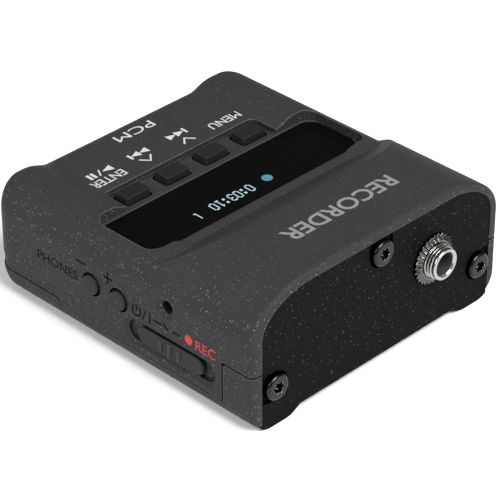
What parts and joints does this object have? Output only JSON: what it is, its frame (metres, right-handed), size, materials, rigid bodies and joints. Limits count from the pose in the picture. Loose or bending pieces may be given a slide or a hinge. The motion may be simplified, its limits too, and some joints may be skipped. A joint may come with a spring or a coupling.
{
  "type": "portable field recorder",
  "caption": "Pocket-size body-worn audio recorder with a recessed display and keys, side record slider, volume buttons and a threaded microphone jack on the end panel.",
  "frame": {"origin": "under the middle of the whole object, on the plane its underside rails rest on", "axes": "+Z out of the display face, +Y out of the end panel along the microphone jack, +X out of the side with the volume buttons and record slider"},
  "size_m": [0.0524, 0.0582, 0.0227],
  "materials": {
    "case_plastic": "dark charcoal, fine texture with light speckle",
    "panel_plastic": "near black, fine texture, slight speckle",
    "key_plastic": "black, satin top, soft edges",
    "button_plastic": "charcoal, satin",
    "window_acrylic": "polished, smoked black",
    "lens_red": "smoked dark red, satin",
    "nickel": "bright nickel plate",
    "black_steel": "black zinc plate",
    "zinc_steel": "zinc plate",
    "contact_steel": "nickel-plated spring steel",
    "shell_steel": "stamped, plain",
    "black_body": "moulded black",
    "board_green": "solder mask",
    "chip_black": "moulded",
    "oled_glass": "polished",
    "foam": "closed-cell foam",
    "ribbon_amber": "polyimide film",
    "cell_sleeve": "plain printed sleeve, no lettering",
    "lamp_resin": "clear resin"
  },
  "bodies": {
    "case": {"upper_case": "case_plastic", "lower_case": "case_plastic", "end_panel": "panel_plastic", "end_panel_screws": "black_steel", "display_window": "window_acrylic", "slide_switch_body": "shell_steel", "indicator_light_pipe": "lens_red", "mic_jack_barrel": "nickel", "mic_jack_nut": "nickel", "mic_jack_body": "black_body", "phones_jack": "black_body", "usb_port": "shell_steel", "card_socket": "shell_steel", "main_board": "board_green", "board_screws": "zinc_steel", "key_board": "board_green", "key_switches": "black_body", "volume_switches": "black_body", "display_module": "oled_glass", "display_gasket": "foam", "display_ribbon": "ribbon_amber", "battery_cell": "cell_sleeve", "battery_contact": "contact_steel", "battery_spring": "contact_steel", "processor_chip": "chip_black", "memory_chip": "chip_black", "indicator_lamp": "lamp_resin"},
    "menu": {"menu_key": "key_plastic"},
    "rewind": {"rewind_key": "key_plastic"},
    "forward": {"forward_key": "key_plastic"},
    "enter": {"enter_key": "key_plastic"},
    "volume_down": {"volume_down_button": "button_plastic"},
    "volume_up": {"volume_up_button": "button_plastic"},
    "slider": {"record_slider": "key_plastic", "slide_switch_lever": "black_body"},
    "door": {"battery_door": "case_plastic"}
  },
  "joints": [
    {"name": "menu_press", "type": "slide", "parent": "case", "child": "menu", "axis": [0, 0, -1], "range_m": [0, 0.0004], "stiffness_N_per_m": 3000},
    {"name": "rewind_press", "type": "slide", "parent": "case", "child": "rewind", "axis": [0, 0, -1], "range_m": [0, 0.0004], "stiffness_N_per_m": 3000},
    {"name": "forward_press", "type": "slide", "parent": "case", "child": "forward", "axis": [0, 0, -1], "range_m": [0, 0.0004], "stiffness_N_per_m": 3000},
    {"name": "enter_press", "type": "slide", "parent": "case", "child": "enter", "axis": [0, 0, -1], "range_m": [0, 0.0004], "stiffness_N_per_m": 3000},
    {"name": "volume_down_press", "type": "slide", "parent": "case", "child": "volume_down", "axis": [-1, 0, 0], "range_m": [0, 0.0003], "stiffness_N_per_m": 3500},
    {"name": "volume_up_press", "type": "slide", "parent": "case", "child": "volume_up", "axis": [-1, 0, 0], "range_m": [0, 0.0003], "stiffness_N_per_m": 3500},
    {"name": "record_slide", "type": "slide", "parent": "case", "child": "slider", "axis": [0, 1, 0], "range_m": [-0.0018, 0.0018], "stiffness_N_per_m": 600},
    {"name": "door_slide", "type": "slide", "parent": "case", "child": "door", "axis": [0, -1, 0], "range_m": [0, 0.0104]}
  ]
}
